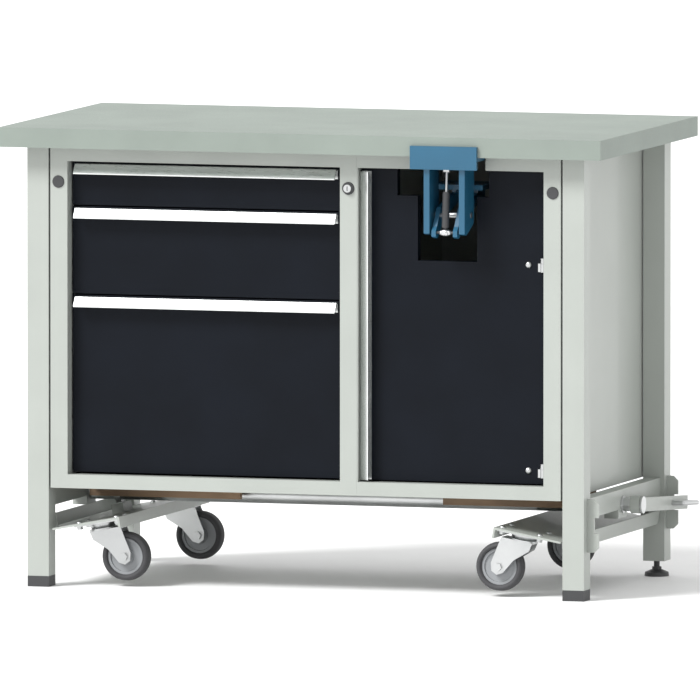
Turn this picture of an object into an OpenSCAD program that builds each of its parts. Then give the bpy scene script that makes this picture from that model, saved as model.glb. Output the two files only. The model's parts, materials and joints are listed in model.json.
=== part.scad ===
// Mobile workbench: two leg frames carry a worktop, a drawer cabinet and a door
// cabinet. A side lever turns a cam shaft that presses two caster carriers down.
// Origin: middle of the bench at floor level. +X right, +Y to the back, +Z up.

/* [Worktop] */
// Worktop length
top_w = 1270; // [1200:10:1340]
// Worktop depth
top_d = 700; // [690:5:720]
// Worktop thickness
top_t = 40; // [30:1:50]
// Height of the work surface above the floor
bench_h = 935; // [930:1:940]

/* [Legs] */
// Side of the square leg tube
leg = 45; // [44:1:46]
// Wall of the leg tube
leg_wall = 2; // [1.5:0.5:3]
// Worktop overhang at each side
side_overhang = 47.5; // [46:0.5:50]
// Worktop overhang at the front
front_overhang = 45; // [44:1:46]
// Worktop overhang at the back
rear_overhang = 33; // [32:1:36]
// Height of the plastic cap under each front leg
cap_h = 22; // [15:1:25]

/* [Cabinets] */
// Height of the cabinets' lower edge above the floor
cabinet_z = 202; // [200:1:206]
// Sheet thickness of the cabinets
sheet = 2; // [1.5:0.5:2]
// Width of the filler strip beside each front leg
filler_w = 34; // [32:1:36]
// X of the joint between the two cabinets
joint_x = 109; // [105:1:112]
// Width of the post right of the drawers
post_w = 35; // [33:1:37]
// Height of the upper front rail
top_rail_h = 29; // [28:1:30]
// Height of the lower front rail
low_rail_h = 28; // [27:1:29]
// Depth of the front rails and the post
rail_d = 25; // [20:1:26]
// Y of the cabinets' back face
cabinet_back_y = 294; // [280:1:296]

/* [Drawers] */
// Pitch of the shallow drawer; the others are two and four times as deep
drawer_unit = 90; // [88:1:90]
// Thickness of a drawer front and of the door
front_t = 19; // [16:1:20]
// Depth of a drawer box
drawer_len = 520; // [480:10:530]

/* [Lift] */
// Thickness of the vise lift's front plate
lift_plate_t = 8; // [7:0.5:9]
// X of the vise lift's middle
lift_x = 307; // [304:1:310]

/* [Chassis] */
// Tilt of the caster carriers while they are raised, in degrees
carrier_tilt = 10.5; // [9:0.5:10.5]
// Caster wheel diameter
wheel_d = 100; // [96:1:100]
// Caster wheel width
wheel_w = 32; // [28:1:34]

/* [Hidden] */
$fn = 48;

// Running clearance of a pin in its bore, and the gap between moving neighbours
fit = 0.05;
gap = 3;

// Worktop edges; the lift's front plate stands proud of the front one
top_y0 = -(top_d + lift_plate_t) / 2 + lift_plate_t;
top_y1 = top_y0 + top_d;
top_z0 = bench_h - top_t;

// Legs
leg_x1 = top_w / 2 - side_overhang;
leg_x0 = leg_x1 - leg;
front_y = top_y0 + front_overhang;
rear_y = top_y1 - rear_overhang;
leg_ys = [front_y, rear_y - leg];
rear_leg_z = 32;
strap_t = 5;
rail_x1 = leg_x1 - 9;
rail_w = 30;
rail_h = 40;
foot_x = leg_x1 - leg / 2;
foot_y = rear_y - leg / 2;

// Cabinets
block_x = leg_x0 - 4;
body_x0 = -block_x + filler_w;
body_x1 = block_x - filler_w;
floor_z = cabinet_z + 24;
open_z0 = cabinet_z + low_rail_h;
open_z1 = top_z0 - top_rail_h;
post_x0 = joint_x - post_w;
plug_z = bench_h - 111;

// Drawer fronts, from the top down: [lower edge, upper edge]
panel_y = front_y + 27;
stack_z1 = open_z1 - gap;
drawers = [
  [stack_z1 - drawer_unit + gap, stack_z1],
  [stack_z1 - 3 * drawer_unit + gap, stack_z1 - drawer_unit],
  [open_z0 + 4, stack_z1 - 3 * drawer_unit]
];
front_x0 = body_x0 + sheet + 3.5;
front_x1 = post_x0 - 3.5;
box_x0 = front_x0 + 14;
box_x1 = front_x1 - 14;
handle_h = 20;
handle_reach = 27;

// Door
door_x0 = joint_x + sheet + 2;
door_x1 = body_x1 - sheet - 2.5;
door_z0 = open_z0 + 3;
door_z1 = open_z1 - 3;
hinge_x = door_x1 - 4;
hinge_y = panel_y - 7;
hinge_zs = [260, 676];
// Z where the notch in the door starts, and where it widens
notch_z0 = 679;
notch_z1 = 810;
shelf_z = 430;

// Vise lift
cheek_t = 12;
cheek_gap = 62;
lift_pivot = [top_y0 + 46, 775];
gas_foot = [top_y0 + 8, 742];
gas_top = [top_y0 + 20, 868];
arm_t = 9;
arm_x = 18;

// Caster carriers, in a frame at the hinge with a along the plate and z across it
carrier_x = leg_x1 - 22.5;
carrier_z = 127;
plate_z = -13;
plate_t = 4;
carrier_a0 = -13;
carrier_a1 = 169.5;
leg_clear = 5;
pad_z = 5.3;
pin_r = 5;
caster_a = 117;
caster_ys = [front_y + 59.5, rear_y - 59.5];
mount_z = plate_z - plate_t;
trail = 38;
axle_drop = 78;
axle_r = 5;

// Cam shaft and lever
shaft_y = top_y0 + 352;
shaft_z = 171;
shaft_r = 17.5;
stub_r = 14;
cam_x = leg_x1 - 96.5;
cam_t = 12;
cam_r0 = 22.1;
cam_lift = 15.9;
catch_ys = [front_y + 26, rear_y - 26];
catch_z = 151.5;
catch_out = 24;
lever_drop = atan((shaft_z - catch_z) / (catch_ys[1] - shaft_y));
lever_turn = 180 + 2 * lever_drop;
lever_x = leg_x1 + catch_out + 0.6;
lever_t = 6;
lever_len = 336;

paint = "gainsboro";
navy = [0.10, 0.12, 0.16];
steel = "silver";
black = [0.16, 0.16, 0.17];
blue = [0.13, 0.42, 0.60];

// A box from its lowest to its highest corner
module block(low, high) {
  translate(low)
    cube(high - low);
}

// Lays a profile drawn as [y, z] in its plane and runs it along X from x0
module along_x(x0, len) {
  translate([x0, 0, 0])
    rotate([90, 0, 90])
      linear_extrude(len)
        children();
}

// Puts copies at the left and, mirrored, at the right
module both_sides() {
  children();
  mirror([1, 0, 0])
    children();
}

// ---- Worktop and leg frames ----

module worktop() {
  color([0.66, 0.71, 0.67])
    block([-top_w / 2, top_y0, top_z0], [top_w / 2, top_y1, bench_h]);
}

module leg_tube(y, z0) {
  difference() {
    block([leg_x0, y, z0], [leg_x1, y + leg, top_z0 - strap_t]);
    block([leg_x0 + leg_wall, y + leg_wall, z0 - 1],
          [leg_x1 - leg_wall, y + leg - leg_wall, top_z0 - strap_t + 1]);
  }
}

module leg_frame() {
  leg_tube(leg_ys[0], cap_h);
  leg_tube(leg_ys[1], rear_leg_z);
  block([leg_x0, front_y, top_z0 - strap_t], [leg_x1, rear_y, top_z0]);
  difference() {
    union() {
      block([rail_x1 - rail_w, front_y + leg, cabinet_z - rail_h],
            [rail_x1, rear_y - leg, cabinet_z]);
      block([rail_x1 - rail_w, shaft_y - 30, shaft_z - 27],
            [rail_x1, shaft_y + 30, cabinet_z]);
    }
    translate([rail_x1 - rail_w - 1, shaft_y, shaft_z])
      rotate([0, 90, 0])
        cylinder(r = shaft_r + fit, h = rail_w + 2);
  }
}

module left_leg_frame() {
  color(paint)
    mirror([1, 0, 0])
      leg_frame();
}

module right_leg_frame() {
  color(paint)
    leg_frame();
}

// Notched plates on the right legs that take the lever at either end of its swing
module lever_catches() {
  notch_h = 32;
  notch_d = 9;
  plate = 6;
  color(paint)
    for (y = catch_ys)
      difference() {
        block([leg_x1, y - plate / 2, catch_z - 54], [leg_x1 + catch_out, y + plate / 2, catch_z + 54]);
        block([leg_x1 + catch_out - notch_d, y - plate, catch_z - notch_h / 2],
              [leg_x1 + catch_out + 1, y + plate, catch_z + notch_h / 2]);
        for (s = [-1, 1])
          translate([leg_x1 + catch_out, y, catch_z + s * 54])
            rotate([0, 45, 0])
              cube([14, 2 * plate, 14], center = true);
      }
}

module front_foot_caps() {
  color(black)
    both_sides()
      union() {
        block([leg_x0, front_y, 0], [leg_x1, front_y + leg, cap_h]);
        block([leg_x0 + leg_wall, front_y + leg_wall, cap_h - 1],
              [leg_x1 - leg_wall, front_y + leg - leg_wall, cap_h + 14]);
      }
}

module rear_leg_inserts() {
  color(black)
    both_sides()
      difference() {
        block([leg_x0 + leg_wall, rear_y - leg + leg_wall, rear_leg_z],
              [leg_x1 - leg_wall, rear_y - leg_wall, rear_leg_z + 24]);
        translate([foot_x, foot_y, rear_leg_z - 1])
          cylinder(r = 6 + fit, h = 26);
      }
}

module levelling_foot() {
  translate([foot_x, foot_y, 0]) {
    cylinder(r1 = 25, r2 = 24, h = 8);
    translate([0, 0, 8])
      cylinder(r1 = 24, r2 = 12, h = 5);
    translate([0, 0, 13])
      cylinder(r = 10, h = 6, $fn = 6);
    cylinder(r = 6, h = 56);
  }
}

module levelling_foot_left() {
  color(black)
    mirror([1, 0, 0])
      levelling_foot();
}

module levelling_foot_right() {
  color(black)
    levelling_foot();
}

// ---- Cabinets ----

// A folded strip beside each front leg, and the side panel that runs back from it
module filler_strips() {
  color(paint)
    both_sides() {
      block([block_x - sheet, front_y, cabinet_z], [block_x, cabinet_back_y, top_z0]);
      difference() {
        block([body_x1, front_y, cabinet_z], [block_x, front_y + rail_d, top_z0]);
        block([body_x1 + sheet, front_y + sheet, cabinet_z - 1],
              [block_x - sheet, front_y + rail_d + 1, top_z0 + 1]);
        translate([(body_x1 + block_x) / 2, front_y - 1, plug_z])
          rotate([-90, 0, 0])
            cylinder(r = 9 + fit, h = sheet + 2);
      }
    }
}

module cover_plugs() {
  color(black)
    both_sides()
      translate([(body_x1 + block_x) / 2, front_y, plug_z])
        rotate([90, 0, 0]) {
          cylinder(r1 = 12.7, r2 = 11.5, h = 2.5);
          translate([0, 0, -sheet - 4])
            cylinder(r = 9, h = sheet + 4);
        }
}

// Bent sheet shell: two sides, a floor and a back, open at the front and the top
module cabinet_shell(x0, x1) {
  difference() {
    block([x0, front_y + rail_d, cabinet_z], [x1, cabinet_back_y, top_z0]);
    block([x0 + sheet, front_y, floor_z + sheet], [x1 - sheet, cabinet_back_y - sheet, top_z0 + 1]);
    block([x0 + sheet, front_y, cabinet_z - 1], [x1 - sheet, cabinet_back_y - sheet, floor_z]);
  }
}

module drawer_cabinet_shell() {
  color(paint)
    cabinet_shell(body_x0, joint_x);
}

module door_cabinet_shell() {
  color(paint)
    cabinet_shell(joint_x, body_x1);
}

// A folded rail: face, and a lip that runs back from the opening's edge
module front_rail(x0, x1, z0, z1, lip_low) {
  block([x0, front_y, z0], [x1, front_y + sheet, z1]);
  if (lip_low)
    block([x0, front_y, z0], [x1, front_y + rail_d, z0 + sheet]);
  else
    block([x0, front_y, z1 - sheet], [x1, front_y + rail_d, z1]);
}

module drawer_cabinet_front() {
  color(paint)
    difference() {
      union() {
        front_rail(body_x0, joint_x, open_z1, top_z0, true);
        front_rail(body_x0, joint_x, cabinet_z, open_z0, false);
        block([body_x0, front_y, cabinet_z], [body_x0 + sheet, front_y + rail_d, top_z0]);
        block([post_x0, front_y, cabinet_z], [joint_x, front_y + sheet, top_z0]);
        for (x = [post_x0, joint_x - sheet])
          block([x, front_y, cabinet_z], [x + sheet, front_y + rail_d, top_z0]);
      }
      translate([joint_x - 17.5, front_y - 1, plug_z])
        rotate([-90, 0, 0])
          cylinder(r = 10 + fit, h = sheet + 2);
    }
}

// The upper rail stops at both sides of the vise lift
module door_cabinet_front() {
  slot_x0 = lift_x - 73.5;
  slot_x1 = lift_x + 73.5;
  color(paint) {
    front_rail(joint_x + 0.2, body_x1, cabinet_z, open_z0, false);
    for (x = [[joint_x + 0.2, slot_x0], [slot_x1, body_x1]])
      front_rail(x[0], x[1], open_z1, top_z0, true);
    for (x = [joint_x + 0.2, body_x1 - sheet])
      block([x, front_y, cabinet_z], [x + sheet, front_y + rail_d, top_z0]);
  }
}

// Two fixed runner rails for each drawer; the right ones stand off the wall on brackets
module cabinet_runners() {
  rail_t = 9;
  y0 = front_y + 60;
  y1 = cabinet_back_y - 20;
  bracket = 30;
  color(steel)
    for (d = drawers) {
      for (x = [body_x0 + sheet, post_x0 - rail_t])
        block([x, y0, d[0] + 16], [x + rail_t, y1, d[0] + 50]);
      for (y = [y0 + 20, y1 - 20 - bracket])
        block([post_x0 - 1, y, d[0] + 20], [joint_x - sheet, y + bracket, d[0] + 46]);
    }
}

module shelf() {
  color(paint)
    difference() {
      block([joint_x + sheet, front_y + 60, shelf_z - 22],
            [body_x1 - sheet, cabinet_back_y - sheet, shelf_z]);
      block([joint_x + sheet + 1.5, front_y + 61.5, shelf_z - 23],
            [body_x1 - sheet - 1.5, cabinet_back_y - sheet - 1.5, shelf_z - 1.5]);
    }
}

// ---- Drawers ----

// Section of the aluminium grip strip: [out from the panel, height]
module grip_profile() {
  polygon([[0, 0], [-14, 0], [-handle_reach, -handle_h + 2], [-handle_reach, -handle_h],
           [-handle_reach + 4, -handle_h], [-handle_reach + 4, -handle_h + 3],
           [-14, -2.5], [-2, -2.5], [-2, -handle_h], [0, -handle_h]]);
}

module drawer_handle(d) {
  color([0.82, 0.85, 0.84])
    translate([0, panel_y, d[1] - gap])
      along_x(front_x0 + 8.5, front_x1 - front_x0 - 17)
        grip_profile();
}

// Hollow of a front folded from sheet, open at the back inside a wide flange
module front_hollow(x0, x1, z0, z1) {
  skin = 1.5;
  flange = 28;
  block([x0 + skin, panel_y + skin, z0 + skin], [x1 - skin, panel_y + front_t - skin, z1 - skin]);
  block([x0 + flange, panel_y + skin, z0 + flange], [x1 - flange, panel_y + front_t + 1, z1 - flange - 10]);
}

module drawer_front(d) {
  color(navy)
    difference() {
      block([front_x0, panel_y, d[0]], [front_x1, panel_y + front_t, d[1]]);
      front_hollow(front_x0, front_x1, d[0], d[1]);
    }
}

// Open tray with the moving runner rails along its sides
module drawer_box(d) {
  wall = 1.5;
  tray_y0 = panel_y + front_t;
  tray_z0 = d[0] + 12;
  tray_z1 = d[1] - 24;
  color(paint) {
    difference() {
      block([box_x0, tray_y0, tray_z0], [box_x1, tray_y0 + drawer_len, tray_z1]);
      block([box_x0 + wall, tray_y0 + wall, tray_z0 + wall],
            [box_x1 - wall, tray_y0 + drawer_len - wall, tray_z1 + 1]);
    }
    for (x = [[front_x0 + 7, box_x0], [box_x1, front_x1 - 7]])
      block([x[0], tray_y0 + 20, d[0] + 24], [x[1], tray_y0 + drawer_len - 20, d[0] + 42]);
  }
}

module drawer_box_top() { drawer_box(drawers[0]); }
module drawer_box_middle() { drawer_box(drawers[1]); }
module drawer_box_bottom() { drawer_box(drawers[2]); }
module drawer_front_top() { drawer_front(drawers[0]); }
module drawer_front_middle() { drawer_front(drawers[1]); }
module drawer_front_bottom() { drawer_front(drawers[2]); }
module drawer_handle_top() { drawer_handle(drawers[0]); }
module drawer_handle_middle() { drawer_handle(drawers[1]); }
module drawer_handle_bottom() { drawer_handle(drawers[2]); }

// ---- Lock ----

module lock_housing() {
  color(black)
    translate([joint_x - 17.5, front_y, plug_z])
      rotate([90, 0, 0])
        difference() {
          union() {
            cylinder(r1 = 13, r2 = 12, h = 3);
            translate([0, 0, -16])
              cylinder(r = 10, h = 16);
          }
          translate([0, 0, -17])
            cylinder(r = 8 + fit, h = 21);
        }
}

module lock_cylinder() {
  color(steel)
    translate([joint_x - 17.5, front_y, plug_z])
      rotate([90, 0, 0])
        difference() {
          translate([0, 0, -20])
            cylinder(r = 8, h = 28);
          block([-1, -4.5, 2], [1, 4.5, 9]);
        }
}

// ---- Door ----

// The notch in the door lets the vise lift through: wide at the top, narrower below
module door_panel() {
  wide = [lift_x - 120, lift_x + 73];
  narrow = [lift_x - 77, lift_x + 48];
  color(navy)
    difference() {
      block([door_x0, panel_y, door_z0], [door_x1, panel_y + front_t, door_z1]);
      block([wide[0], panel_y - 1, notch_z1], [wide[1], panel_y + front_t + 1, door_z1 + 1]);
      block([narrow[0], panel_y - 1, notch_z0], [narrow[1], panel_y + front_t + 1, notch_z1 + 1]);
      front_hollow(door_x0, door_x1, door_z0, notch_z0 - 3);
    }
}

module door_handle() {
  color([0.82, 0.85, 0.84])
    translate([door_x0, panel_y, door_z0 + 1])
      linear_extrude(door_z1 - door_z0 - 6)
        rotate(90)
          grip_profile();
}

module door_screws() {
  color(steel)
    for (z = hinge_zs) {
      translate([hinge_x - 33, panel_y, z])
        rotate([90, 0, 0])
          rotate_extrude()
            polygon([[0, 0], [6.5, 0], [6, 2], [4.5, 3.6], [2.4, 4.6], [0, 5]]);
    }
}

module door_hinge_knuckles() {
  color(steel)
    for (z = hinge_zs)
      difference() {
        union() {
          block([hinge_x - 12, panel_y - 3, z - 14], [hinge_x, panel_y, z + 3]);
          block([hinge_x - 5.5, hinge_y, z - 14], [hinge_x + 3, panel_y, z + 3]);
          translate([hinge_x, hinge_y, z - 14])
            cylinder(r = 5.5, h = 17);
        }
        translate([hinge_x, hinge_y, z - 15])
          cylinder(r = 3 + fit, h = 19);
      }
}

// The pins stand on brackets that reach in from the cabinet's side wall
module frame_hinge_pins() {
  color(steel)
    for (z = hinge_zs) {
      translate([hinge_x, hinge_y, z - 13])
        cylinder(r = 3, h = 20);
      translate([hinge_x, hinge_y, z + 3.4])
        cylinder(r = 5.5, h = 10.6);
      block([hinge_x, hinge_y - 2, z + 3.4], [body_x1 - sheet, hinge_y + 2, z + 14]);
    }
}

// ---- Vise lift ----

// Fixed part: front plate, flange under the worktop and two cheeks
module lift_bracket() {
  plate_z0 = top_z0 - 25;
  color(blue)
    difference() {
      union() {
        block([lift_x - 70, top_y0 - lift_plate_t, plate_z0],
              [lift_x + 70, top_y0, plate_z0 + 47]);
        block([lift_x - 70, top_y0 - lift_plate_t, top_z0 - 8],
              [lift_x + 70, top_y0 + 150, top_z0]);
        for (x = [lift_x - cheek_gap / 2 - cheek_t, lift_x + cheek_gap / 2])
          along_x(x, cheek_t)
            polygon([[top_y0, top_z0 - 4], [top_y0, 740], [top_y0 + 14, 737],
                     [top_y0 + 62, 757], [top_y0 + 66, 775], [top_y0 + 66, top_z0 - 4]]);
      }
      translate([lift_x - 60, lift_pivot[0], lift_pivot[1]])
        rotate([0, 90, 0])
          cylinder(r = 6 + fit, h = 120);
    }
}

// Moving arms: front ends carry the gas spring's foot, rear ends the vise plate
module lift_arms() {
  p = lift_pivot;
  g = gas_foot;
  color(blue)
    difference() {
      for (x = [lift_x - arm_x - arm_t, lift_x + arm_x])
        along_x(x, arm_t)
          polygon([[g[0] - 7, g[1] - 8], [g[0] + 8, g[1] - 12], [p[0] + 4, p[1] - 15],
                   [p[0] + 34, p[1] - 2], [p[0] + 150, p[1] + 26], [p[0] + 150, p[1] + 48],
                   [p[0] + 20, p[1] + 22], [p[0] - 8, p[1] + 16], [g[0] + 2, g[1] + 12],
                   [g[0] - 7, g[1] + 4]]);
      translate([lift_x - 40, p[0], p[1]])
        rotate([0, 90, 0])
          cylinder(r = 6 + fit, h = 80);
      translate([lift_x - 40, g[0], g[1]])
        rotate([0, 90, 0])
          cylinder(r = 3, h = 80);
    }
}

// Threaded plate that the vise is bolted to
module vise_plate() {
  p1 = lift_pivot[1];
  z0 = p1 + 48;
  y0 = lift_pivot[0] + 40;
  color(blue)
    difference() {
      union() {
        block([lift_x - 55, y0, z0], [lift_x + 55, y0 + 110, z0 + 10]);
        for (x = [lift_x - arm_x - arm_t, lift_x + arm_x])
          block([x, y0 + 60, z0 - 22], [x + arm_t, y0 + 109.9, z0 + 1]);
      }
      along_x(lift_x - 60, 120)
        polygon([[y0, p1 - 10], [y0, p1 + 26], [y0 + 110, p1 + 48], [y0 + 110, p1 - 10]]);
      for (sx = [-40, 40])
        for (sy = [20, 90])
          translate([lift_x + sx, y0 + sy, z0 - 1])
            cylinder(r = 5.5, h = 12);
    }
}

module lift_pivot_pin() {
  color(steel)
    translate([lift_x - 46, lift_pivot[0], lift_pivot[1]])
      rotate([0, 90, 0]) {
        cylinder(r = 6, h = 90);
        cylinder(r = 9, h = 2.5);
      }
}

// Draws its children with the gas spring's foot at the origin and its top along +Z
module gas_frame() {
  rise = gas_top - gas_foot;
  translate([lift_x, gas_foot[0], gas_foot[1]])
    rotate([-atan2(rise[0], rise[1]), 0, 0])
      children();
}

module gas_cylinder() {
  color(black)
    gas_frame()
      difference() {
        union() {
          rotate([0, 90, 0])
            cylinder(r = 5, h = 10, center = true);
          cylinder(r = 4, h = 12);
          translate([0, 0, 10])
            cylinder(r = 7.5, h = 72);
          rotate([0, 90, 0])
            cylinder(r = 2.95, h = 54, center = true);
        }
        translate([0, 0, 14])
          cylinder(r = 3 + fit, h = 70);
      }
}

module gas_rod() {
  rise = gas_top - gas_foot;
  color(steel)
    gas_frame() {
      translate([0, 0, 66])
        cylinder(r = 3, h = norm(rise) - 66);
      translate([0, 0, norm(rise)])
        rotate([0, 90, 0])
          cylinder(r = 6, h = 12, center = true);
    }
}

// ---- Lifting chassis ----

module bearer_boards() {
  color([0.45, 0.36, 0.27])
    both_sides()
      block([215, top_y0 + 298, 165], [535, top_y0 + 312, cabinet_z]);
}

// Draws its children in the left carrier's own frame: a inwards, z off the plate
module carrier_frame() {
  translate([-carrier_x, 0, carrier_z])
    rotate([0, -carrier_tilt, 0])
      children();
}

module carrier() {
  inner_a = 26;
  ear_t = 4;
  y0 = front_y + leg + leg_clear;
  y1 = rear_y - leg - leg_clear;
  carrier_frame()
    difference() {
      union() {
        block([inner_a, front_y + 6, plate_z - plate_t], [carrier_a1, rear_y - 6, plate_z]);
        block([carrier_a0, y0, plate_z - plate_t], [inner_a + 1, y1, plate_z]);
        block([carrier_a0, y0, plate_z - plate_t], [carrier_a0 + ear_t, y1, 12]);
        block([carrier_a1 - ear_t, front_y + 6, plate_z - 22], [carrier_a1, rear_y - 6, plate_z]);
        for (y = [y0, y1 - ear_t])
          block([carrier_a0, y, plate_z - plate_t], [25, y + ear_t, 12]);
        block([70, shaft_y - 30, plate_z - 1], [95, shaft_y + 30, pad_z]);
      }
      for (y = [y0 - 1, y1 - ear_t - 1])
        translate([0, y, 0])
          rotate([-90, 0, 0])
            cylinder(r = pin_r + fit, h = ear_t + 2);
    }
}

module carrier_left() {
  color(paint)
    carrier();
}

module carrier_right() {
  color(paint)
    mirror([1, 0, 0])
      carrier();
}

module carrier_hinge_pins() {
  color(steel)
    both_sides()
      for (end = [[front_y + leg, 1], [rear_y - leg, -1]])
        translate([-carrier_x, end[0], carrier_z])
          rotate([-90 * end[1], 0, 0]) {
            cylinder(r = pin_r, h = 15);
            translate([0, 0, 10])
              cylinder(r = 9, h = 4);
          }
}

// Involute cam: its reach grows evenly while the lever turns, so the plate sinks evenly
module cam_profile() {
  rate = cam_lift / (lever_turn * PI / 180);
  points = [for (a = [0 : lever_turn / 24 : lever_turn + 0.01])
    let (reach = cam_r0 + cam_lift * a / lever_turn, b = -90 - a)
      [reach * cos(b) + rate * sin(b), reach * sin(b) - rate * cos(b)]];
  union() {
    polygon(points);
    circle(r = 21);
  }
}

module cross_shaft() {
  color(steel)
    translate([0, shaft_y, shaft_z])
      difference() {
        union() {
          translate([-rail_x1, 0, 0])
            rotate([0, 90, 0])
              cylinder(r = shaft_r, h = 2 * rail_x1 + 3);
          translate([rail_x1, 0, 0])
            rotate([0, 90, 0])
              cylinder(r = stub_r, h = lever_x + lever_t + 4 - rail_x1);
          translate([lever_x + lever_t + 1, 0, 0])
            rotate([0, 90, 0])
              cylinder(r = shaft_r, h = 4);
          for (x = [-cam_x, cam_x - cam_t])
            along_x(x, cam_t)
              cam_profile();
        }
        translate([-rail_x1 - 1, 0, 0])
          rotate([0, 90, 0])
            cylinder(r = shaft_r - 5, h = 2 * rail_x1 - 20);
      }
}

// Flat bar on a hub that slides along the shaft's end, in and out of the catches
module lever() {
  hub_w = 20;
  color(paint)
    translate([0, shaft_y, shaft_z])
      difference() {
        union() {
          translate([lever_x + lever_t - hub_w, 0, 0])
            rotate([0, 90, 0])
              cylinder(r = 18, h = hub_w);
          rotate([-lever_drop, 0, 0])
            block([lever_x, 0, -14], [lever_x + lever_t, lever_len, 14]);
        }
        translate([lever_x - 30, 0, 0])
          rotate([0, 90, 0])
            cylinder(r = stub_r + fit, h = 60);
      }
}

// Round-bar loop on the lever's outer face
module lever_handle() {
  bar = 5;
  out = 22;
  x0 = lever_x + lever_t;
  y0 = 222;
  y1 = lever_len - 10;
  color(steel)
    translate([0, shaft_y, shaft_z])
      rotate([-lever_drop, 0, 0]) {
        for (y = [y0, y1]) {
          translate([x0, y, 0])
            rotate([0, 90, 0])
              cylinder(r = bar, h = out, $fn = 24);
          translate([x0 + out, y, 0])
            sphere(r = bar, $fn = 24);
        }
        translate([x0 + out, y0, 0])
          rotate([-90, 0, 0])
            cylinder(r = bar, h = y1 - y0, $fn = 24);
      }
}

// ---- Casters, drawn at the left and mirrored for the right ----

module caster_frame(y) {
  carrier_frame()
    translate([caster_a, y, mount_z])
      children();
}

module caster_plate() {
  difference() {
    union() {
      block([-48, -42.5, -3], [48, 42.5, 0]);
      translate([0, 0, -13])
        cylinder(r1 = 24, r2 = 30, h = 10);
      for (x = [-40, 40])
        for (y = [-30, 30])
          translate([x, y, -9])
            cylinder(r = 6.5, h = 6, $fn = 6);
    }
    translate([0, 0, -14])
      cylinder(r = 8 + fit, h = 11);
  }
}

module caster_plates() {
  color(steel)
    for (y = caster_ys)
      caster_frame(y)
        caster_plate();
}

module caster_plates_left() { caster_plates(); }

module caster_plates_right() {
  mirror([1, 0, 0])
    caster_plates();
}

// Swivel fork with its kingpin and the wheel's axle bolt
module fork() {
  half = wheel_w / 2 + 3;
  wall = 3;
  color(steel) {
    translate([0, 0, -13.5])
      cylinder(r = 8, h = 9.5);
    difference() {
      union() {
        translate([0, 0, -17])
          cylinder(r = 29, h = 3.5);
        block([-24, -half - wall, -20], [42, half + wall, -16.5]);
        for (y = [-half - wall, half])
          translate([0, y + wall, 0])
            rotate([90, 0, 0])
              linear_extrude(wall)
                polygon([[-24, -17], [42, -17], [54, -72], [50, -88], [38, -94], [26, -88],
                         [8, -58], [-20, -34]]);
      }
      translate([trail, half + wall + 1, -axle_drop])
        rotate([90, 0, 0])
          cylinder(r = axle_r, h = 2 * (half + wall + 1));
    }
    translate([trail, 0, -axle_drop])
      rotate([90, 0, 0]) {
        cylinder(r = axle_r, h = 2 * (half + wall + 6), center = true);
        for (s = [-1, 1])
          translate([0, 0, s * (half + wall + 3)])
            cylinder(r = 9, h = 6, center = true, $fn = 6);
      }
  }
}

module wheel_core() {
  color([0.55, 0.56, 0.57])
    translate([trail, 0, -axle_drop])
      rotate([90, 0, 0])
        difference() {
          union() {
            cylinder(r = 37, h = wheel_w - 12, center = true);
            cylinder(r = 16, h = wheel_w, center = true);
          }
          cylinder(r = axle_r + fit, h = wheel_w + 2, center = true);
          for (s = [-1, 1])
            translate([0, 0, s * (wheel_w / 2 - 6)])
              rotate_extrude()
                polygon([[18, -3 * s], [31, -3 * s], [33, 4 * s], [16.5, 4 * s]]);
        }
}

module tyre() {
  r = wheel_d / 2;
  w = wheel_w / 2;
  color(black)
    translate([trail, 0, -axle_drop])
      rotate([90, 0, 0])
        rotate_extrude()
          polygon([[37, -w + 5], [39, -w + 1], [r - 5, -w], [r - 1.5, -w + 4], [r, -w + 9],
                   [r, w - 9], [r - 1.5, w - 4], [r - 5, w], [39, w - 1], [37, w - 5]]);
}

module at_right() {
  mirror([1, 0, 0])
    children();
}

module fork_front_left() { caster_frame(caster_ys[0]) fork(); }
module fork_rear_left() { caster_frame(caster_ys[1]) fork(); }
module fork_front_right() { at_right() caster_frame(caster_ys[0]) fork(); }
module fork_rear_right() { at_right() caster_frame(caster_ys[1]) fork(); }
module wheel_front_left() { caster_frame(caster_ys[0]) wheel_core(); }
module wheel_rear_left() { caster_frame(caster_ys[1]) wheel_core(); }
module wheel_front_right() { at_right() caster_frame(caster_ys[0]) wheel_core(); }
module wheel_rear_right() { at_right() caster_frame(caster_ys[1]) wheel_core(); }
module tyre_front_left() { caster_frame(caster_ys[0]) tyre(); }
module tyre_rear_left() { caster_frame(caster_ys[1]) tyre(); }
module tyre_front_right() { at_right() caster_frame(caster_ys[0]) tyre(); }
module tyre_rear_right() { at_right() caster_frame(caster_ys[1]) tyre(); }

worktop();
left_leg_frame();
right_leg_frame();
lever_catches();
front_foot_caps();
rear_leg_inserts();
levelling_foot_left();
levelling_foot_right();
filler_strips();
cover_plugs();
drawer_cabinet_shell();
drawer_cabinet_front();
door_cabinet_shell();
door_cabinet_front();
cabinet_runners();
drawer_box_top();
drawer_box_middle();
drawer_box_bottom();
drawer_front_top();
drawer_front_middle();
drawer_front_bottom();
drawer_handle_top();
drawer_handle_middle();
drawer_handle_bottom();
lock_housing();
lock_cylinder();
door_panel();
door_handle();
door_screws();
door_hinge_knuckles();
frame_hinge_pins();
shelf();
lift_bracket();
lift_arms();
vise_plate();
lift_pivot_pin();
gas_cylinder();
gas_rod();
bearer_boards();
carrier_left();
carrier_right();
carrier_hinge_pins();
cross_shaft();
lever();
lever_handle();
caster_plates_left();
caster_plates_right();
fork_front_left();
fork_rear_left();
fork_front_right();
fork_rear_right();
wheel_front_left();
wheel_rear_left();
wheel_front_right();
wheel_rear_right();
tyre_front_left();
tyre_rear_left();
tyre_front_right();
tyre_rear_right();
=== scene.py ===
import json
import math

import bmesh
import bpy
from mathutils import Matrix, Vector


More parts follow.
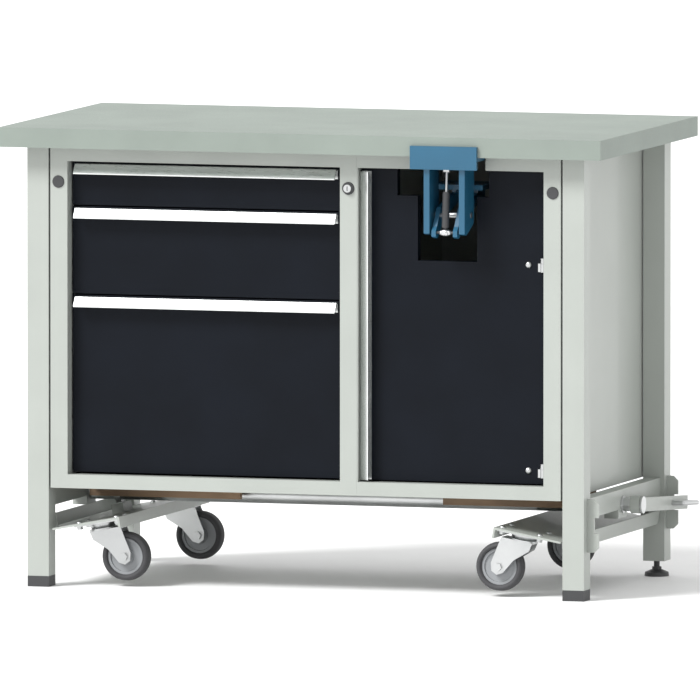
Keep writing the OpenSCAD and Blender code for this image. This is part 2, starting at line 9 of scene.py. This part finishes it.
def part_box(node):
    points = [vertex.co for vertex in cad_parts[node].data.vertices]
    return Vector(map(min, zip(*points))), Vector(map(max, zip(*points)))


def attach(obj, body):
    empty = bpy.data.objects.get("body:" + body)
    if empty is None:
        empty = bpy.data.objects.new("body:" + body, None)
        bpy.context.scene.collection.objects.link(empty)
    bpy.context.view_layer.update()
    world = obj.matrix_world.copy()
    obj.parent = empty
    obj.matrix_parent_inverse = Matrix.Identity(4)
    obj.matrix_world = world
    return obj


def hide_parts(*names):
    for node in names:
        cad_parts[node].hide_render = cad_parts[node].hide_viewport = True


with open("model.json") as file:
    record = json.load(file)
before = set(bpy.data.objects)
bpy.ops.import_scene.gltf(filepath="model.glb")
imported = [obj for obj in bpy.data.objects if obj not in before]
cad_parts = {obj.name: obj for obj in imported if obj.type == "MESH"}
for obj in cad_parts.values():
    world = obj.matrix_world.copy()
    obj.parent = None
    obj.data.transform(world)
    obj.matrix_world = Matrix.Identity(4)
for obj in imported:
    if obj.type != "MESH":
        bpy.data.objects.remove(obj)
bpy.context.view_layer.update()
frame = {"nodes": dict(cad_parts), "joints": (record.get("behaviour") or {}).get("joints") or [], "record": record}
nodes = frame["nodes"]

# ---- Materials: a base colour with fine variation, roughness from noise, and a bump ----


# Scale per metre of the slow change of colour over a surface
DRIFT_SCALE = 7.0


def shader(name, rough, metallic=0.0, coat=0.0, shine=0.5):
    """A node material with its Principled shader and object-space coordinates."""
    mat = bpy.data.materials.new(name)
    mat.use_nodes = True
    tree = mat.node_tree
    bsdf = tree.nodes["Principled BSDF"]
    bsdf.inputs["Roughness"].default_value = rough
    bsdf.inputs["Metallic"].default_value = metallic
    bsdf.inputs["Coat Weight"].default_value = coat
    bsdf.inputs["Specular IOR Level"].default_value = shine
    place = tree.nodes.new("ShaderNodeTexCoord")
    return mat, tree, bsdf, place.outputs["Object"]


def noise(tree, coords, scale, detail=4.0, stretch=(1, 1, 1)):
    mapping = tree.nodes.new("ShaderNodeMapping")
    mapping.inputs["Scale"].default_value = stretch
    tree.links.new(coords, mapping.inputs["Vector"])
    tex = tree.nodes.new("ShaderNodeTexNoise")
    tex.inputs["Scale"].default_value = scale
    tex.inputs["Detail"].default_value = detail
    tree.links.new(mapping.outputs["Vector"], tex.inputs["Vector"])
    return tex.outputs["Fac"]


def ramp(tree, fac, dark, light, low=0.35, high=0.65):
    node = tree.nodes.new("ShaderNodeValToRGB")
    ends = node.color_ramp.elements
    ends[0].position, ends[1].position = low, high
    ends[0].color, ends[1].color = (*dark, 1), (*light, 1)
    tree.links.new(fac, node.inputs["Fac"])
    return node.outputs["Color"]


def add_bump(tree, bsdf, height, strength, depth):
    bump = tree.nodes.new("ShaderNodeBump")
    bump.inputs["Strength"].default_value = strength
    bump.inputs["Distance"].default_value = depth
    tree.links.new(height, bump.inputs["Height"])
    tree.links.new(bump.outputs["Normal"], bsdf.inputs["Normal"])


def finish_material(name, colour, rough, grain, vary=0.06, metallic=0.0, coat=0.0,
                    stretch=(1, 1, 1), strength=0.15, depth=0.0002, shine=0.5):
    """Colour drifts slowly over the surface; grain is the fine texture's scale per metre."""
    mat, tree, bsdf, coords = shader(name, rough, metallic, coat, shine)
    drift = noise(tree, coords, DRIFT_SCALE)
    dark = [c * (1 - vary) for c in colour]
    light = [min(1.0, c * (1 + vary)) for c in colour]
    tree.links.new(ramp(tree, drift, dark, light), bsdf.inputs["Base Color"])
    fine = noise(tree, coords, grain, 6.0, stretch)
    low, high = rough * 0.85, min(1.0, rough * 1.15)
    tree.links.new(ramp(tree, fine, [low] * 3, [high] * 3), bsdf.inputs["Roughness"])
    add_bump(tree, bsdf, fine, strength, depth)
    return mat


# Brushed and sawn finishes stretch their grain along X
LENGTHWISE = (0.04, 1, 1)
finishes = {
    "worktop_surface": finish_material("worktop_surface", (0.205, 0.238, 0.212), 0.55, 900, 0.05,
                                       strength=0.25),
    "frame_paint": finish_material("frame_paint", (0.332, 0.353, 0.328), 0.42, 1400, 0.025, coat=0.1),
    "navy_paint": finish_material("navy_paint", (0.0035, 0.0050, 0.0085), 0.45, 1400, 0.12, shine=0.12),
    "grip_aluminium": finish_material("grip_aluminium", (0.78, 0.80, 0.79), 0.32, 900, 0.03, 1.0,
                                      stretch=LENGTHWISE),
    "black_plastic": finish_material("black_plastic", (0.035, 0.036, 0.038), 0.5, 1800, 0.1, strength=0.3),
    "zinc_steel": finish_material("zinc_steel", (0.55, 0.56, 0.56), 0.33, 260, 0.12, 1.0, strength=0.08),
    "lift_blue": finish_material("lift_blue", (0.010, 0.085, 0.155), 0.4, 1200, 0.08, coat=0.15),
    "board_wood": finish_material("board_wood", (0.23, 0.15, 0.09), 0.7, 220, 0.25, stretch=LENGTHWISE,
                                  strength=0.4, depth=0.0005),
    "wheel_core": finish_material("wheel_core", (0.24, 0.25, 0.26), 0.45, 1200, 0.06),
    "tyre_rubber": finish_material("tyre_rubber", (0.045, 0.045, 0.048), 0.75, 700, 0.15, strength=0.35),
}
slot_of = {part["node"]: part["material_slot"] for part in frame["record"]["subparts"]}

# Edge radius of each finish, in metres: sheet metal folds, board edges and mouldings
edge_radius = {"worktop_surface": 0.003, "frame_paint": 0.0012, "navy_paint": 0.0015, "lift_blue": 0.0012,
               "black_plastic": 0.001, "board_wood": 0.001, "wheel_core": 0.0008}


def soften(obj, radius):
    bevel = obj.modifiers.new("edge", "BEVEL")
    bevel.width = radius
    bevel.segments = 3
    bevel.limit_method = "ANGLE"
    bevel.angle_limit = math.radians(40)


for node_name, obj in nodes.items():
    slot_name = slot_of[node_name]
    obj.data.materials.clear()
    obj.data.materials.append(finishes[slot_name])
    if slot_name in edge_radius:
        soften(obj, edge_radius[slot_name])

# ---- Pieces that stand for plainer CAD nodes ----


def piece(name, bm, body, slot_name):
    """A smooth-shaded object from bm, in its finish, that rides on body."""
    bmesh.ops.recalc_face_normals(bm, faces=bm.faces)
    mesh = bpy.data.meshes.new(name)
    bm.to_mesh(mesh)
    bm.free()
    for face in mesh.polygons:
        face.use_smooth = True
    mesh.materials.append(finishes[slot_name])
    obj = bpy.data.objects.new(name, mesh)
    bpy.context.scene.collection.objects.link(obj)
    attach(obj, body)
    return obj


def ring(bm, profile, place, steps=96):
    """Turns a closed profile of (radius, offset along the axis) into a ring about Y, moved by place."""
    rows = []
    for i in range(steps):
        a = 2 * math.pi * i / steps
        rows.append([bm.verts.new(place @ Vector((r * math.cos(a), w, r * math.sin(a))))
                     for r, w in profile])
    for i in range(steps):
        row, after = rows[i], rows[(i + 1) % steps]
        for k in range(len(profile)):
            n = (k + 1) % len(profile)
            bm.faces.new((row[k], row[n], after[n], after[k]))


TYRE_THICKNESS = 0.013


def tyre_profile(outer, inner, half):
    """Crowned tread with round shoulders and a straight bead."""
    shoulder = 0.007
    crown = 0.0012
    bead = 0.004
    rings = 8
    points = [(inner, -half + bead)]
    for side in (-1, 1):
        arc = []
        for i in range(rings + 1):
            a = math.pi / 2 * i / rings
            arc.append((outer - crown - shoulder * (1 - math.sin(a)),
                        side * (half - shoulder * (1 - math.cos(a)))))
        points += arc if side < 0 else [(outer, 0.0)] + arc[::-1]
    return points + [(inner, half - bead)]


for end in ("front", "rear"):
    for side in ("left", "right"):
        tyre_node = f"tyre_{end}_{side}"
        low, high = (Vector(c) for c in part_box(tyre_node))
        middle = (low + high) / 2
        radius = (high.z - low.z) / 2
        half_width = (high.y - low.y) / 2
        bm = bmesh.new()
        profile = tyre_profile(radius, radius - TYRE_THICKNESS, half_width)
        ring(bm, profile, Matrix.Translation(middle))
        tyre = piece(f"moulded_{tyre_node}", bm, f"wheel_{end}_{side}", "tyre_rubber")
        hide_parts(tyre_node)

# ---- Small hardware that the CAD leaves plain ----


def turned(name, profile, origin, axis, body, slot_name, steps=32):
    """A solid turned about axis through origin. Its (radius, height) points start and end at radius 0."""
    turn = Matrix.Translation(origin) @ Vector(axis).to_track_quat("Z", "Y").to_matrix().to_4x4()
    bm = bmesh.new()
    foot = bm.verts.new(turn @ Vector((0, 0, profile[0][1])))
    crown = bm.verts.new(turn @ Vector((0, 0, profile[-1][1])))
    rows = []
    for radius, height in profile[1:-1]:
        angles = [2 * math.pi * i / steps for i in range(steps)]
        rows.append([bm.verts.new(turn @ Vector((radius * math.cos(a), radius * math.sin(a), height)))
                     for a in angles])
    for i in range(steps):
        n = (i + 1) % steps
        bm.faces.new((foot, rows[0][n], rows[0][i]))
        bm.faces.new((crown, rows[-1][i], rows[-1][n]))
        for low_row, high_row in zip(rows, rows[1:]):
            bm.faces.new((low_row[i], low_row[n], high_row[n], high_row[i]))
    return piece(name, bm, body, slot_name)


def dome(radius, height, rings=5):
    """Profile of a round head that stands on its face."""
    arc = [(radius * math.cos(math.pi / 2 * i / rings), height * math.sin(math.pi / 2 * i / rings))
           for i in range(rings)]
    return [(0, -0.001), (radius, -0.001)] + arc + [(0, height)]


joint_of = {joint["name"]: joint for joint in frame["joints"]}
PLATE_THICKNESS = 0.004
BOLT_ALONG, BOLT_ACROSS = 0.040, 0.030
for end in ("front", "rear"):
    for side in ("left", "right"):
        swivel = joint_of[f"swivel_{end}_{side}"]
        up = Vector(swivel["axis"]).normalized()
        across = Vector((0, 1, 0))
        along = across.cross(up)
        plate_top = Vector(swivel["pos_m"]) + up * PLATE_THICKNESS
        for i, (a, b) in enumerate(((-1, -1), (-1, 1), (1, -1), (1, 1))):
            spot = plate_top + along * (a * BOLT_ALONG) + across * (b * BOLT_ACROSS)
            turned(f"caster_bolt_{end}_{side}_{i}", dome(0.0065, 0.0045), spot, up,
                   f"carrier_{side}", "zinc_steel")

# Bright end eye of the gas spring, with a ball at each side
spring_foot = Vector(joint_of["gas_spring_pivot"]["pos_m"])
eye = [(0, -0.006), (0.0062, -0.006), (0.007, -0.005), (0.007, 0.005), (0.0062, 0.006), (0, 0.006)]
turned("gas_spring_eye", eye, spring_foot, (1, 0, 0), "gas_spring_body", "zinc_steel")
for i, sign in enumerate((-1, 1)):
    turned(f"gas_spring_ball_{i}", dome(0.0055, 0.006), spring_foot + Vector((sign * 0.007, 0, 0)),
           (sign, 0, 0), "gas_spring_body", "zinc_steel")

# ---- Floor, light and camera ----

# In metres; it fills the view from every side
FLOOR_RADIUS = 60
floor_mesh = bpy.data.meshes.new("floor")
bm = bmesh.new()
bmesh.ops.create_circle(bm, cap_ends=True, radius=FLOOR_RADIUS, segments=64)
bm.to_mesh(floor_mesh)
bm.free()
floor_mat = finish_material("floor_pale", (0.86, 0.86, 0.86), 0.7, 40, 0.01, strength=0.02)
floor_mesh.materials.append(floor_mat)
floor = bpy.data.objects.new("floor", floor_mesh)
bpy.context.scene.collection.objects.link(floor)

world = bpy.data.worlds.new("studio")
world.use_nodes = True
world.node_tree.nodes["Background"].inputs["Color"].default_value = (1.0, 1.0, 1.0, 1)
world.node_tree.nodes["Background"].inputs["Strength"].default_value = 1.0
bpy.context.scene.world = world
bpy.context.scene.view_settings.view_transform = "Standard"


def sun(name, energy, spread, direction):
    data = bpy.data.lights.new(name, "SUN")
    data.energy = energy
    data.angle = math.radians(spread)
    obj = bpy.data.objects.new(name, data)
    obj.rotation_euler = Vector(direction).to_track_quat("-Z", "Y").to_euler()
    bpy.context.scene.collection.objects.link(obj)


sun("key", 3.6, 20, (0.50, 0.62, -0.80))

# A long lens seen from far off gives the flat, parallel view
TARGET = Vector((0.0036, 0, 0.4708))
VIEW_FROM = Vector((0.2902, -0.9534, 0.0828))
VIEW_WIDTH = 1.420
SENSOR = 36
LENS = 1500
camera_data = bpy.data.cameras.new("camera")
camera_data.sensor_width = SENSOR
camera_data.lens = LENS
distance = VIEW_WIDTH * LENS / SENSOR
camera_data.clip_end = 3 * distance
camera = bpy.data.objects.new("camera", camera_data)
camera.location = TARGET + VIEW_FROM.normalized() * distance
camera.rotation_euler = (-VIEW_FROM).to_track_quat("-Z", "Y").to_euler()
bpy.context.scene.collection.objects.link(camera)
bpy.context.scene.camera = camera
